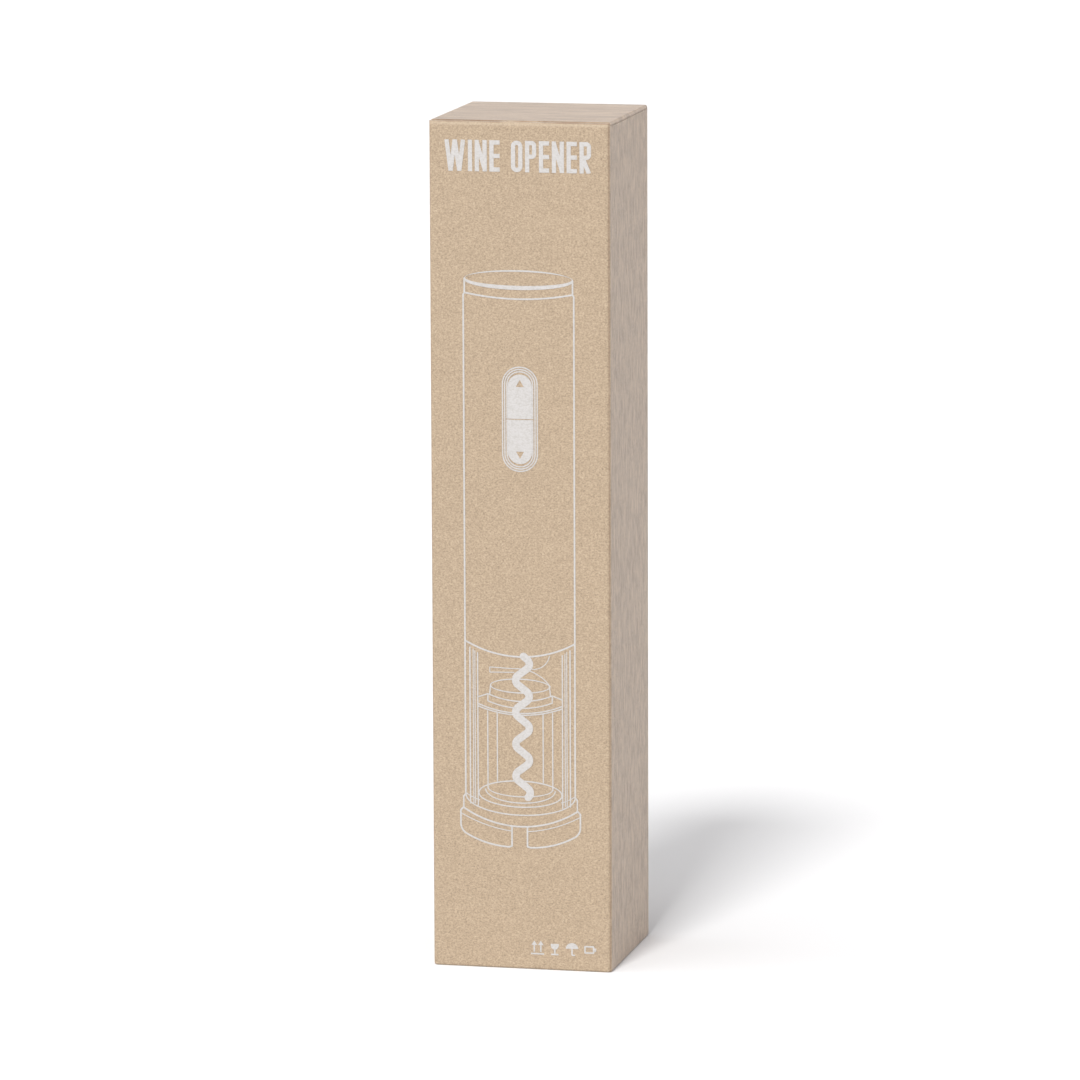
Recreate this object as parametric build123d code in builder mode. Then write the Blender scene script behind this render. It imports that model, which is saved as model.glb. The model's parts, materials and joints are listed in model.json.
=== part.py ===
from build123d import *
from math import acos, atan2, cos, degrees, hypot, pi, radians, sin, tan
import os

os.makedirs("parts", exist_ok=True)

# Boxed electric wine opener, in millimetres.
# +Z is up and the origin is the middle of the carton's base. The printed front faces -Y.
# The opener stands on its foil cutter in a moulded cradle inside the closed carton.

# ---- carton: driving dimensions ----
carton_side = 60.0
carton_height = 280.0
board = 1.2
crease_radius = 1.3
wall_inner_round = 0.3
edge_round = 0.8
front_wall_drop = 0.3
lid_corner_round = 0.9
lid_side_gap = 0.12
front_seam = 0.2
flap_gap = 0.1
base_gap = 0.15
base_corner_round = 0.5
dust_flap_length = 24.0
dust_flap_front = 25.0
dust_flap_rear = 26.5
dust_flap_rear_inner = 8.5
dust_flap_notch = 0.2
dust_flap_front_taper = 4.0
flap_crease_round = 0.1
flap_corner_round = 3.0
tuck_depth = 14.0
tuck_tilt = 12.0
tuck_half_width = 27.8
tuck_corner_round = 6.0
bottom_tuck_height = 14.0
bottom_flap_length = 23.0
bottom_flap_half_width = 26.9

# ---- cradle: driving dimensions ----
cradle_side = 54.4
cradle_floor = 1.6
cradle_height = 10.0
cradle_corner_round = 4.0
pocket_radius = 25.0
finger_notch_radius = 8.0

# ---- print: driving dimensions ----
ink = 0.1
title_words = "WINE OPENER"
title_x = -24.7
title_z = 263.5
title_height = 10.2
title_width = 48.6
title_stroke = 1.4
letter_widths = {
    "W": 6.9, "I": title_stroke, "N": 4.0, "E": 3.4, " ": 2.0, "O": 3.8, "P": 3.7, "R": 3.8
}
w_foot_inset = 0.29
marks_x = 5.2
marks_z = 5.1
marks_height = 4.6
marks_step = 5.8
marks_pen = 0.5
drawing_x = -0.35
bold = 0.55
medium = 0.4
fine = 0.3
body_drawn_low = 109.1
slot_drawn_half = 2.6
slot_drawn_shift = -0.3
rocker_drawn_z = 182.75
ring_step = 0.75
ring_line = 0.42
worm_drawn_x = 0.45
worm_drawn_swing = 3.5
worm_drawn_top = 101.9
worm_drawn_step = 5.33
worm_drawn_width = 2.5

# ---- opener: heights above its own foot ----
jaw_height = 7.0
cutter_frame_low = 7.2
cutter_frame_top = 9.0
frame_boss_top = 10.9
collar_low = 9.1
collar_top = 13.5
sleeve_low = 11.0
guide_flange_top = 13.0
rail_low = 13.2
guide_top = 18.0
leg_low = 18.1
plate_low = 56.0
plate_top = 58.0
tier_two_top = 62.0
tier_one_top = 65.5
sleeve_shoulder = 80.3
sleeve_top = 86.3
bulkhead_boss_low = 90.6
bulkhead_low = 91.8
bulkhead_top = 95.0
bush_top = 96.5
ring_low = 95.05
output_plate_low = 98.0
stage_two_low = 101.0
first_plate_low = 107.3
stage_one_low = 110.0
ring_top = 116.0
motor_low = 118.05
armature_low = 123.05
armature_top = 145.05
commutator_top = 151.05
motor_top = 152.0
motor_cap_top = 154.5
chassis_top = 158.2
carrier_low = 158.4
cell_low = 165.0
cell_length = 50.0
carrier_top = 213.0
cap_skirt_low = 223.9
seal_groove_low = 226.3
seal_groove_top = 227.7
shell_top = 230.9
cap_recess_floor = 234.9
opener_height = 235.8
rocker_z = 180.6

# ---- opener: radii ----
cutter_radius = 24.5
jaw_bore_radius = 16.5
frame_radius = 24.0
frame_bore_radius = 17.0
frame_boss_radius = 18.3
collar_radius = 23.3
collar_bore_radius = 18.5
sleeve_radius = 22.6
sleeve_bore_radius = 20.6
spigot_radius = 21.7
shell_radius = 22.9
shell_bore_radius = 21.9
guide_flange_radius = 20.5
guide_wall_radius = 18.0
neck_radius = 15.1
plate_radius = 16.85
tier_two_radius = 13.25
tier_one_radius = 12.15
worm_hole_radius = 6.4
stop_bore_low_radius = 10.8
stop_bore_high_radius = 10.2
chassis_radius = 21.7
chassis_top_bore_radius = 12.0
bulkhead_boss_radius = 9.0
ring_radius = 16.0
carrier_plate_radius = 12.2
motor_plate_bore_radius = 5.0
motor_radius = 13.85
motor_nose_radius = 3.0
armature_radius = 11.2
commutator_radius = 3.4
shaft_radius = 1.0
cell_radius = 7.25
cell_offset = 7.7
cell_button_radius = 2.75
contact_radius = 5.0
cap_radius = 22.55
cap_skirt_radius = 21.7
cap_bore_radius = 19.6
cap_recess_radius = 20.8
seal_inner_radius = 20.95

# ---- opener: small parts ----
cutter_slot = 6.4
jaw_rim_round = 2.2
jaw_top_chamfer = 0.4
pivot_hole_depth = 1.3
pivot_pin_low = 0.6
wheel_radius = 4.6
wheel_thickness = 0.9
wheel_bevel = 1.6
wheel_slot_half = 0.7
wheel_slot_clearance = 0.6
wheel_height = 3.6
wheel_ring_radius = 18.8
wheel_angle = 32.0
wheel_pin_radius = 0.8
wheel_pin_low = 1.0
wheel_pin_top = 6.2
jaw_pin_radius = 1.2
jaw_pin_x = 6.5
jaw_pin_y = 19.8
running_gap = 0.06
rail_angle = 12.0
rail_ring_radius = 19.8
rail_depth = 2.2
rail_width = 1.4
stop_wall = 1.8
ear_x = 18.0
ear_side = 4.4
leg_ring_radius = 16.0
leg_x = 11.65
leg_middle_radius = 16.1
leg_depth = 1.2
leg_width = 3.6
worm_wire = 2.9
worm_outer = 9.5
worm_pitch = 13.0
worm_low = 16.6
worm_point_length = 6.0
chuck_low = 83.5
chuck_radius = 6.0
chuck_nose_round = 1.0
worm_root_depth = 1.0
worm_point_taper = 12.5
spring_wire = 1.2
spring_radius = 10.6
spring_turns = 5
spring_end_gap = 0.1
rocker_length = 37.6
rocker_width = 10.0
rocker_face = 24.1
rocker_back = 21.3
rocker_triangle_z = 13.5
rocker_triangle_depth = 0.6
surround_length = 44.2
surround_width = 14.9
bezel_inner_length = 38.3
bezel_inner_width = 10.7
bezel_face = 23.35
bezel_back = 21.0
bezel_groove_floor = 21.9
bezel_groove_outer = 1.8
bezel_groove_inner = 2.5
pivot_y = -21.7
rocker_pin_radius = 0.8
board_back = 16.3
board_length = 36.0
board_width = 13.0
board_thickness = 1.5
switch_z = 12.0
switch_side = 6.0
switch_height = 2.2
plunger_radius = 1.75
plunger_height = 0.6
bush_radius = 7.6
screw_y = 18.4
screw_low = 104.0
screw_high = 142.0
screw_radius = 1.1
screw_head_radius = 1.8
screw_head_seat = 6.0
screw_head_height = 1.5
lead_radius = 0.6
lead_bend = 0.85

# ---- gears ----
gear_module = 0.65
sun_teeth = 12
planet_teeth = 15
ring_teeth = 42
pressure_angle = radians(25)
addendum = 0.9
dedendum = 1.15
tooth_slack = 0.05
gear_width = 5.4
planet_pin_radius = 1.2
planet_pin_stand = 0.3
carrier_thickness = 2.4

# ---- worked out from the above ----
half = carton_side / 2
inside = half - board
lid_underside = carton_height - board
flap_top = lid_underside - flap_gap
flap_low = flap_top - board
front_wall_top = carton_height - front_wall_drop
foot = 2 * board + 2 * flap_gap + cradle_floor
planet_distance = gear_module * (sun_teeth + planet_teeth) / 2
motor_sun_low = stage_one_low + 0.2


def up(height):
    """Height above the opener's foot as a height in the carton."""
    return foot + height


def finish(piece, node):
    """Labels a finished piece and writes it as its own node."""
    piece.part.label = node
    export_step(piece.part, f"parts/{node}.step")


# =====================================================================
# Carton
# =====================================================================

with BuildPart() as carton_tube:
    with BuildSketch():
        RectangleRounded(carton_side, carton_side, crease_radius)
        RectangleRounded(2 * inside, 2 * inside, wall_inner_round, mode=Mode.SUBTRACT)
    extrude(amount=front_wall_top)
    # the side walls stop below the lid, and lower still under the creased dust flaps
    with BuildSketch(Plane.XY.offset(flap_top)):
        Rectangle(carton_side + 1, 2 * inside)
    extrude(amount=board, mode=Mode.SUBTRACT)
    with BuildSketch(Plane.XY.offset(lid_underside)):
        with Locations((0, inside)):
            Rectangle(carton_side + 1, 4 * board)
    extrude(amount=board, mode=Mode.SUBTRACT)
    with BuildSketch(Plane.XY.offset(flap_low)):
        with Locations((0, (dust_flap_rear - dust_flap_front) / 2)):
            Rectangle(carton_side + 1, dust_flap_rear + dust_flap_front + 2 * dust_flap_notch)
    extrude(amount=2 * board, mode=Mode.SUBTRACT)
    outer_edges = carton_tube.edges().group_by(Axis.Z)[0].filter_by(
        lambda e: max(abs(e.center().X), abs(e.center().Y)) > inside + board / 2
    )
    fillet(outer_edges, edge_round)
finish(carton_tube, "carton_tube")

with BuildPart() as lid_panel:
    with BuildSketch(Plane.XY.offset(lid_underside)):
        with Locations((0, (half - inside + front_seam) / 2)):
            lid_depth = half + inside - front_seam
            RectangleRounded(carton_side - 2 * lid_side_gap, lid_depth, lid_corner_round)
    extrude(amount=board)
    fillet(lid_panel.faces().sort_by(Axis.Z)[-1].edges(), edge_round)
finish(lid_panel, "lid_panel")

tilt = radians(tuck_tilt)
crease_y = -inside + front_seam
with BuildPart() as tuck_flap:
    with BuildSketch(Plane.YZ):
        with BuildLine():
            Polyline(
                (crease_y, lid_underside),
                (crease_y + tuck_depth * sin(tilt), lid_underside - tuck_depth * cos(tilt)),
                (
                    crease_y + tuck_depth * sin(tilt) + board * cos(tilt),
                    lid_underside - tuck_depth * cos(tilt) + board * sin(tilt),
                ),
                (crease_y + board / cos(tilt), lid_underside),
                close=True,
            )
        make_face()
    extrude(amount=tuck_half_width, both=True)
    lower_corners = tuck_flap.edges().filter_by(
        lambda e: abs(e.center().X) > tuck_half_width - 0.1
        and abs(e.length - board) < 0.01
        and e.center().Z < lid_underside - board
    )
    fillet(lower_corners, tuck_corner_round)
finish(tuck_flap, "tuck_flap")

for side, node in ((1, "dust_flap_right"), (-1, "dust_flap_left")):
    inner_x = side * (half - dust_flap_length)
    with BuildPart() as dust_flap:
        with BuildSketch(Plane.XY.offset(flap_low)) as flap_outline:
            with BuildLine():
                Polyline(
                    (side * half, -dust_flap_front),
                    (side * half, dust_flap_rear),
                    (inner_x, dust_flap_rear_inner),
                    (inner_x, dust_flap_front_taper - dust_flap_front),
                    close=True,
                )
            make_face()
            inner_corners = flap_outline.vertices().filter_by(lambda v: abs(v.X) < half - 1)
            fillet(inner_corners, flap_corner_round)
        extrude(amount=board)
        crease = dust_flap.edges().filter_by(Axis.Y).filter_by(
            lambda e: abs(e.center().X) > half - 0.1 and e.center().Z > flap_top - 0.1
        )
        fillet(crease, flap_crease_round)
    finish(dust_flap, node)

with BuildPart() as bottom_closure:
    with BuildSketch():
        RectangleRounded(2 * (inside - base_gap), 2 * (inside - base_gap), base_corner_round)
    extrude(amount=board)
    with BuildSketch(Plane.XY.offset(board)):
        with Locations((0, -(inside - base_gap) + board / 2)):
            Rectangle(2 * tuck_half_width, board)
    extrude(amount=bottom_tuck_height)
finish(bottom_closure, "bottom_closure")

with BuildPart() as bottom_flaps:
    with BuildSketch(Plane.XY.offset(board + flap_gap)) as both_flaps:
        for side in (1, -1):
            with Locations((side * (inside - base_gap - bottom_flap_length / 2), 0)):
                Rectangle(bottom_flap_length, 2 * bottom_flap_half_width)
        inner_corners = both_flaps.vertices().filter_by(lambda v: abs(v.X) < inside - 2)
        fillet(inner_corners, flap_corner_round)
    extrude(amount=board)
finish(bottom_flaps, "bottom_flaps")

with BuildPart() as cradle_tray:
    with BuildSketch(Plane.XY.offset(foot - cradle_floor)):
        RectangleRounded(cradle_side, cradle_side, cradle_corner_round)
    extrude(amount=cradle_height)
    with BuildSketch(Plane.XY.offset(foot)):
        Circle(pocket_radius)
    extrude(amount=cradle_height, mode=Mode.SUBTRACT)
    with BuildSketch(Plane.YZ):
        with Locations((0, foot - cradle_floor + cradle_height)):
            Circle(finger_notch_radius)
    extrude(amount=half, both=True, mode=Mode.SUBTRACT)
finish(cradle_tray, "cradle_tray")

# =====================================================================
# Print on the front of the carton: white ink standing on the board
# =====================================================================

print_plane = Plane(origin=(0, -half, 0), x_dir=(1, 0, 0), z_dir=(0, -1, 0))


def bar(x0, z0, x1, z1, width):
    """A straight printed line from one point to another."""
    length = hypot(x1 - x0, z1 - z0)
    with Locations(((x0 + x1) / 2, (z0 + z1) / 2)):
        Rectangle(length, width, rotation=degrees(atan2(z1 - z0, x1 - x0)))


def outline_ring(x, z, length, height, radius, width):
    """A printed rounded rectangle line, centred on a point."""
    outer = RectangleRounded(length, height, radius, mode=Mode.PRIVATE)
    inner = RectangleRounded(
        length - 2 * width, height - 2 * width, max(radius - width, 0.05), mode=Mode.PRIVATE
    )
    with Locations((x, z)):
        add(outer - inner)


def letter(name, x, wide):
    """One plain condensed capital, its left edge at x."""
    tall, pen = title_height, title_stroke
    left, right, middle = x + pen / 2, x + wide - pen / 2, x + wide / 2
    low, high, centre = title_z, title_z + tall, title_z + tall / 2
    bow = centre + pen / 2
    if name in "NEPRI":
        bar(left, low, left, high, pen)
    if name == "W":
        foot_in = wide * w_foot_inset
        for side in (-1, 1):
            foot_x = middle + side * (wide / 2 - foot_in)
            bar(middle + side * (wide / 2 - pen / 2), high, foot_x, low, pen)
            bar(foot_x, low, middle, high, pen)
    if name == "N":
        bar(right, low, right, high, pen)
        bar(left, high - pen / 2, right, low + pen / 2, pen)
    if name == "E":
        for z in (low + pen / 2, centre, high - pen / 2):
            bar(x, z, x + wide, z, pen)
    if name == "O":
        outline_ring(middle, centre, wide, tall, wide / 2 - 0.05, pen)
    if name in "PR":
        outline_ring(middle, (bow + high - pen) / 2, wide, high - bow + pen, wide / 2 - 0.3, pen)
    if name == "R":
        bar(left + 0.3, centre, right, low, pen)


letters_total = sum(letter_widths[character] for character in title_words)
letter_gap = (title_width - letters_total) / (len(title_words) - 1)

with BuildPart() as printed_title:
    with BuildSketch(print_plane) as title:
        pen_x = title_x
        for character in title_words:
            if character != " ":
                letter(character, pen_x, letter_widths[character])
            pen_x += letter_widths[character] + letter_gap
        # every stroke ends level with the top and bottom of the line of capitals
        with Locations((title_x + title_width / 2, title_z + title_height / 2)):
            Rectangle(title_width + 2, title_height, mode=Mode.INTERSECT)
    extrude(amount=ink)
finish(printed_title, "printed_title")

# Handling marks, left to right: this way up, glass, keep dry and a battery.
marks_middle_z = marks_z + marks_height / 2
arrows_x, glass_x, umbrella_x, battery_x = (marks_x + marks_step * place for place in range(4))
with BuildPart() as printed_marks:
    with BuildSketch(print_plane):
        bar(arrows_x - 2.2, marks_z + marks_pen / 2, arrows_x + 2.2, marks_z + marks_pen / 2, marks_pen)
        for arrow_x in (arrows_x - 1.1, arrows_x + 1.1):
            bar(arrow_x, marks_z + 0.9, arrow_x, marks_z + marks_height - 1.5, marks_pen)
            with Locations((arrow_x, marks_z + marks_height - 0.95)):
                Triangle(a=1.9, b=1.75, c=1.75)
        with Locations((glass_x, marks_z + marks_height - 1.15)):
            Ellipse(1.35, 1.6)
        with Locations((glass_x, marks_z + marks_height)):
            Rectangle(3, 1.6, mode=Mode.SUBTRACT)
        bar(glass_x, marks_z, glass_x, marks_z + 2.2, marks_pen)
        bar(glass_x - 1.2, marks_z + marks_pen / 2, glass_x + 1.2, marks_z + marks_pen / 2, marks_pen)
        canopy = Ellipse(2.1, 1.9, mode=Mode.PRIVATE) & Pos(0, 1) * Rectangle(
            5, 2, mode=Mode.PRIVATE
        )
        with Locations((umbrella_x, marks_z + 2.4)):
            add(canopy)
        bar(umbrella_x, marks_z + 0.2, umbrella_x, marks_z + 3, marks_pen)
        bar(umbrella_x, marks_z + marks_pen / 2, umbrella_x + 1, marks_z + marks_pen / 2, marks_pen)
        outline_ring(battery_x, marks_middle_z, 3.4, 2.6, 0.4, marks_pen)
        bar(battery_x + 1.6, marks_middle_z, battery_x + 2.3, marks_middle_z, 1.1)
    extrude(amount=ink)
finish(printed_marks, "printed_marks")


def stroke(path, width):
    """A printed line of even width along a path, with round ends."""
    add(make_face(path.wire().offset_2d(width / 2), mode=Mode.PRIVATE))


def run(width, *points):
    """A printed line along straight runs, given from the drawing's middle."""
    with BuildLine(mode=Mode.PRIVATE) as path:
        Polyline(*[(drawing_x + x, z) for x, z in points])
    stroke(path, width)


def bend(width, *points):
    """A printed arc through three points, given from the drawing's middle."""
    with BuildLine(mode=Mode.PRIVATE) as path:
        ThreePointArc(*[(drawing_x + x, z) for x, z in points])
    stroke(path, width)


def both(line, width, *points):
    """The same line on the left and on the right of the drawing."""
    for side in (-1, 1):
        line(width, *[(side * x, z) for x, z in points])


def sag(width, reach, end_z, middle_z):
    """The front of a round edge: a shallow arc from side to side."""
    bend(width, (-reach, end_z), (0, middle_z), (reach, end_z))


def oval(width, reach, z, rise, front_only=False):
    """A round edge seen from above: a whole ellipse, or its front half."""
    ring = Ellipse(reach, rise, mode=Mode.PRIVATE) - Ellipse(
        reach - width, rise - width, mode=Mode.PRIVATE
    )
    if front_only:
        ring = ring & Pos(0, -rise) * Rectangle(3 * reach, 2 * rise, mode=Mode.PRIVATE)
    with Locations((drawing_x, z)):
        add(ring)


# The drawing shows the opener standing on its foil cutter, seen a little from above. Each
# call gives how far the line reaches from the drawing's middle, and its height on the carton.
with BuildPart() as printed_drawing:
    with BuildSketch(print_plane):
        # cap with its thick front rim
        rim = Ellipse(18.25, 3.25, mode=Mode.PRIVATE) - Pos(0, 0.4) * Ellipse(
            17.75, 2.3, mode=Mode.PRIVATE
        )
        with Locations((drawing_x, 228.35)):
            add(rim)
        both(run, bold, (18.0, 228.4), (18.0, 223.9))
        sag(bold, 18.0, 223.9, 222.1)
        # body
        both(run, bold, (18.0, 223.9), (18.4, 223.2), (18.4, body_drawn_low), (18.4, 58.2))
        sag(bold, 18.3, body_drawn_low, body_drawn_low - 4.8)
        # clear sleeve's guide rails, each starting under the body's edge
        for reach, top, width in ((16.8, 106.9, 0.45), (15.7, 106.3, fine), (15.1, 105.8, fine)):
            both(run, width, (reach, top), (reach, 55.0))
        both(run, medium, (14.2, 105.2), (14.2, 54.4))
        # end of the return spring
        run(fine, (-2.0, 100.3), (-10.1, 100.6), (-10.1, 98.9), (-2.0, 99.1))
        bend(fine, (-2.0, 100.3), (6.2, 98.4), (10.2, 94.7))
        bend(fine, (9.9, 104.8), (8.6, 102.2), (4.2, 100.3))
        # cork stop: its crown, its two steps and its flange
        oval(medium, 10.1, 94.6, 2.5)
        both(run, medium, (9.9, 94.6), (10.2, 91.6))
        sag(medium, 10.8, 91.7, 89.5)
        both(run, medium, (10.8, 91.7), (10.8, 89.3))
        sag(medium, 10.8, 89.3, 87.2)
        both(run, medium, (10.8, 91.7), (14.1, 90.5))
        sag(medium, 14.1, 88.3, 85.5)
        sag(medium, 14.1, 87.5, 84.9)
        both(run, medium, (7.7, 85.4), (7.7, 62.7))
        both(run, medium, (10.9, 85.9), (10.9, 60.2))
        # seat for the bottle's neck
        oval(bold - 0.1, 14.2, 58.6, 4.6)
        oval(medium, 11.9, 60.0, 4.6, front_only=True)
        oval(medium, 11.0, 60.4, 2.9, front_only=True)
        both(bend, fine, (18.3, 58.4), (16.2, 57.1), (13.7, 56.2))
        # bottom of the sleeve, and the collar
        oval(bold - 0.1, 18.6, 58.1, 6.8, front_only=True)
        both(run, bold - 0.1, (18.4, 58.2), (19.1, 57.2), (19.1, 53.5))
        sag(bold, 19.1, 53.4, 47.7)
        # foil cutter and the slot between its jaws
        for side in (-1, 1):
            slot_x = slot_drawn_shift + side * slot_drawn_half
            run(bold, (side * 19.1, 53.6), (side * 20.1, 52.6), (side * 20.1, 48.0))
            bend(bold, (side * 20.1, 48.0), (side * 19.6, 46.2), (side * 18.4, 44.9))
            bend(bold, (side * 18.4, 44.9), (side * 11.2, 41.9), (slot_x + side, 40.8))
            run(bold, (slot_x + side, 40.8), (slot_x, 41.1), (slot_x, 47.8))
            bend(fine, (side * 19.7, 51.4), (side * 10.8, 47.7), (slot_x, 46.1))
        # rocker in its ringed surround
        for step in range(3):
            shrink = 2 * ring_step * step
            outline_ring(0, rocker_drawn_z, 12 - shrink, 34.6 - shrink, 5.9 - shrink / 2, ring_line)
        with Locations((0, rocker_drawn_z)):
            RectangleRounded(8.1, 29.4, 4.0)
            Rectangle(9, 0.3, mode=Mode.SUBTRACT)
        for side in (-1, 1):
            with Locations((0, rocker_drawn_z + side * 11.4)):
                Triangle(a=2.7, b=2.7, c=2.7, rotation=90 - 90 * side, mode=Mode.SUBTRACT)
        # the worm, a broad white ribbon
        bends = [
            (worm_drawn_x + (worm_drawn_swing if place % 2 == 0 else -worm_drawn_swing), z)
            for place, z in enumerate(worm_drawn_top - worm_drawn_step * k for k in range(9))
        ]
        with BuildLine(mode=Mode.PRIVATE) as ribbon:
            FilletPolyline(
                (worm_drawn_x + 0.4, body_drawn_low - 4.6),
                *bends,
                (worm_drawn_x + 1.8, 57.6),
                radius=1.9,
            )
        stroke(ribbon, worm_drawn_width)
    extrude(amount=ink)
finish(printed_drawing, "printed_drawing")

# =====================================================================
# Foil cutter: the opener's removable foot
# =====================================================================


def turned(*profile, mode=Mode.ADD):
    """Turns a half profile, given as radius and height above the foot, in the current part."""
    with BuildSketch(Plane.XZ) as half_profile:
        with BuildLine():
            Polyline(*[(radius, up(height)) for radius, height in profile], close=True)
        make_face()
    revolve(half_profile.sketch, axis=Axis.Z, mode=mode)


def tube(outer, inner, low, high, mode=Mode.ADD):
    """A plain tube between two heights above the foot."""
    turned((inner, low), (outer, low), (outer, high), (inner, high), mode=mode)


def peg(x, y, low, high, radius, mode=Mode.ADD):
    """An upright round pin or hole between two heights above the foot."""
    with BuildSketch(Plane.XY.offset(up(low))) as end:
        with Locations((x, y)):
            Circle(radius)
    extrude(end.sketch, amount=high - low, mode=mode)


for side, node in ((-1, "cutter_jaw_left"), (1, "cutter_jaw_right")):
    with BuildPart() as jaw:
        with BuildSketch(Plane.XY.offset(up(0))):
            Circle(cutter_radius)
            Circle(jaw_bore_radius, mode=Mode.SUBTRACT)
            with Locations((side * (half + cutter_slot / 2), 0)):
                Rectangle(carton_side, carton_side, mode=Mode.INTERSECT)
        extrude(amount=jaw_height)
        rims = jaw.edges().filter_by(
            lambda e: e.geom_type == GeomType.CIRCLE and e.radius > cutter_radius - 0.1
        ).sort_by(Axis.Z)
        fillet(rims[0], jaw_rim_round)
        chamfer(rims[-1], jaw_top_chamfer)
        peg(side * jaw_pin_x, jaw_pin_y, 0, jaw_height, jaw_pin_radius + running_gap, Mode.SUBTRACT)
        for angle in (-wheel_angle, wheel_angle):
            x = side * wheel_ring_radius * cos(radians(angle))
            y = wheel_ring_radius * sin(radians(angle))
            low, high = wheel_height - wheel_slot_half, wheel_height + wheel_slot_half
            peg(x, y, low, high, wheel_radius + wheel_slot_clearance, Mode.SUBTRACT)
            peg(x, y, wheel_pin_low, wheel_pin_top, wheel_pin_radius, Mode.SUBTRACT)
    finish(jaw, node)

for side, node in ((-1, "wheel_pins_left"), (1, "wheel_pins_right")):
    with BuildPart() as wheel_pins:
        for angle in (-wheel_angle, wheel_angle):
            x = side * wheel_ring_radius * cos(radians(angle))
            y = wheel_ring_radius * sin(radians(angle))
            peg(x, y, wheel_pin_low, wheel_pin_top, wheel_pin_radius)
    finish(wheel_pins, node)

wheel_places = [(-1, -wheel_angle), (-1, wheel_angle), (1, -wheel_angle), (1, wheel_angle)]
for number, (side, angle) in enumerate(wheel_places, start=1):
    centre_x = side * wheel_ring_radius * cos(radians(angle))
    centre_y = wheel_ring_radius * sin(radians(angle))
    axle = Axis((centre_x, centre_y, 0), (0, 0, 1))
    wheel_bore = wheel_pin_radius + running_gap
    wheel_low = up(wheel_height) - wheel_thickness / 2
    wheel_top = up(wheel_height) + wheel_thickness / 2
    with BuildPart() as cutter_wheel:
        with BuildSketch(Plane(origin=(centre_x, centre_y, 0), x_dir=(1, 0, 0), z_dir=(0, -1, 0))):
            with BuildLine():
                Polyline(
                    (wheel_bore, wheel_low),
                    (wheel_radius - wheel_bevel, wheel_low),
                    (wheel_radius, up(wheel_height)),
                    (wheel_radius - wheel_bevel, wheel_top),
                    (wheel_bore, wheel_top),
                    close=True,
                )
            make_face()
        revolve(axis=axle)
    finish(cutter_wheel, f"cutter_wheel_{number}")

with BuildPart() as cutter_frame:
    turned(
        (frame_bore_radius, cutter_frame_low),
        (frame_radius, cutter_frame_low),
        (frame_radius, cutter_frame_top - 0.4),
        (frame_radius - 0.4, cutter_frame_top),
        (frame_boss_radius, cutter_frame_top),
        (frame_boss_radius, frame_boss_top),
        (frame_bore_radius, frame_boss_top),
    )
    for side in (-1, 1):
        low, high = cutter_frame_low, cutter_frame_low + pivot_hole_depth
        peg(side * jaw_pin_x, jaw_pin_y, low, high, jaw_pin_radius, Mode.SUBTRACT)
finish(cutter_frame, "cutter_frame")

with BuildPart() as jaw_pivot_pins:
    for side in (-1, 1):
        pin_top = cutter_frame_low + pivot_hole_depth
        peg(side * jaw_pin_x, jaw_pin_y, pivot_pin_low, pin_top, jaw_pin_radius)
finish(jaw_pivot_pins, "jaw_pivot_pins")

# =====================================================================
# Sleeve: clear tube, its collar and the seat for the bottle's neck
# =====================================================================

with BuildPart() as sleeve_collar:
    turned(
        (collar_bore_radius, collar_low),
        (collar_radius - 0.5, collar_low),
        (collar_radius, collar_low + 0.5),
        (collar_radius, collar_top - 0.3),
        (collar_radius - 0.3, collar_top),
        (sleeve_radius + 0.01, collar_top),
        (sleeve_radius + 0.01, sleeve_low),
        (collar_bore_radius, sleeve_low),
    )
finish(sleeve_collar, "sleeve_collar")

with BuildPart() as clear_sleeve:
    turned(
        (sleeve_bore_radius, sleeve_low),
        (sleeve_radius, sleeve_low),
        (sleeve_radius, sleeve_shoulder),
        (spigot_radius, sleeve_shoulder),
        (spigot_radius, sleeve_top),
        (sleeve_bore_radius, sleeve_top),
    )
    with BuildSketch(Plane.XY.offset(up(rail_low))):
        for angle in (-rail_angle, rail_angle, 180 - rail_angle, 180 + rail_angle):
            with PolarLocations(rail_ring_radius, 1, start_angle=angle):
                Rectangle(rail_depth, rail_width)
    extrude(amount=sleeve_shoulder - rail_low)
finish(clear_sleeve, "clear_sleeve")

with BuildPart() as neck_guide:
    turned(
        (neck_radius + 1.4, sleeve_low + 0.01),
        (guide_flange_radius, sleeve_low + 0.01),
        (guide_flange_radius, guide_flange_top),
        (guide_wall_radius, guide_flange_top),
        (guide_wall_radius, guide_top - 0.4),
        (guide_wall_radius - 0.4, guide_top),
        (neck_radius + 0.3, guide_top),
        (neck_radius, guide_top - 0.3),
        (neck_radius, guide_top - 2),
    )
finish(neck_guide, "neck_guide")

leg_angle = degrees(acos(leg_x / leg_middle_radius))
with BuildPart() as cork_stop:
    turned(
        (worm_hole_radius, tier_one_top),
        (tier_one_radius - 0.8, tier_one_top),
        (tier_one_radius, tier_one_top - 0.8),
        (tier_one_radius, tier_two_top),
        (tier_two_radius - 0.5, tier_two_top),
        (tier_two_radius, tier_two_top - 0.5),
        (tier_two_radius, plate_top),
        (plate_radius, plate_top),
        (plate_radius, plate_low),
        (stop_bore_low_radius, plate_low),
        (stop_bore_high_radius, tier_one_top - stop_wall),
        (worm_hole_radius, tier_one_top - stop_wall),
    )
    # two ears run between the sleeve's rails
    with BuildSketch(Plane.XY.offset(up(plate_low))):
        for side in (-1, 1):
            with Locations((side * ear_x, 0)):
                Rectangle(ear_side, ear_side)
    extrude(amount=plate_top - plate_low)
    with BuildSketch(Plane.XY.offset(up(leg_low))):
        for angle in (leg_angle, 180 - leg_angle, 180 + leg_angle, -leg_angle):
            with PolarLocations(leg_ring_radius, 1, start_angle=angle):
                Rectangle(leg_depth, leg_width)
    extrude(amount=plate_low - leg_low + 0.5)
finish(cork_stop, "cork_stop")

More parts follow.
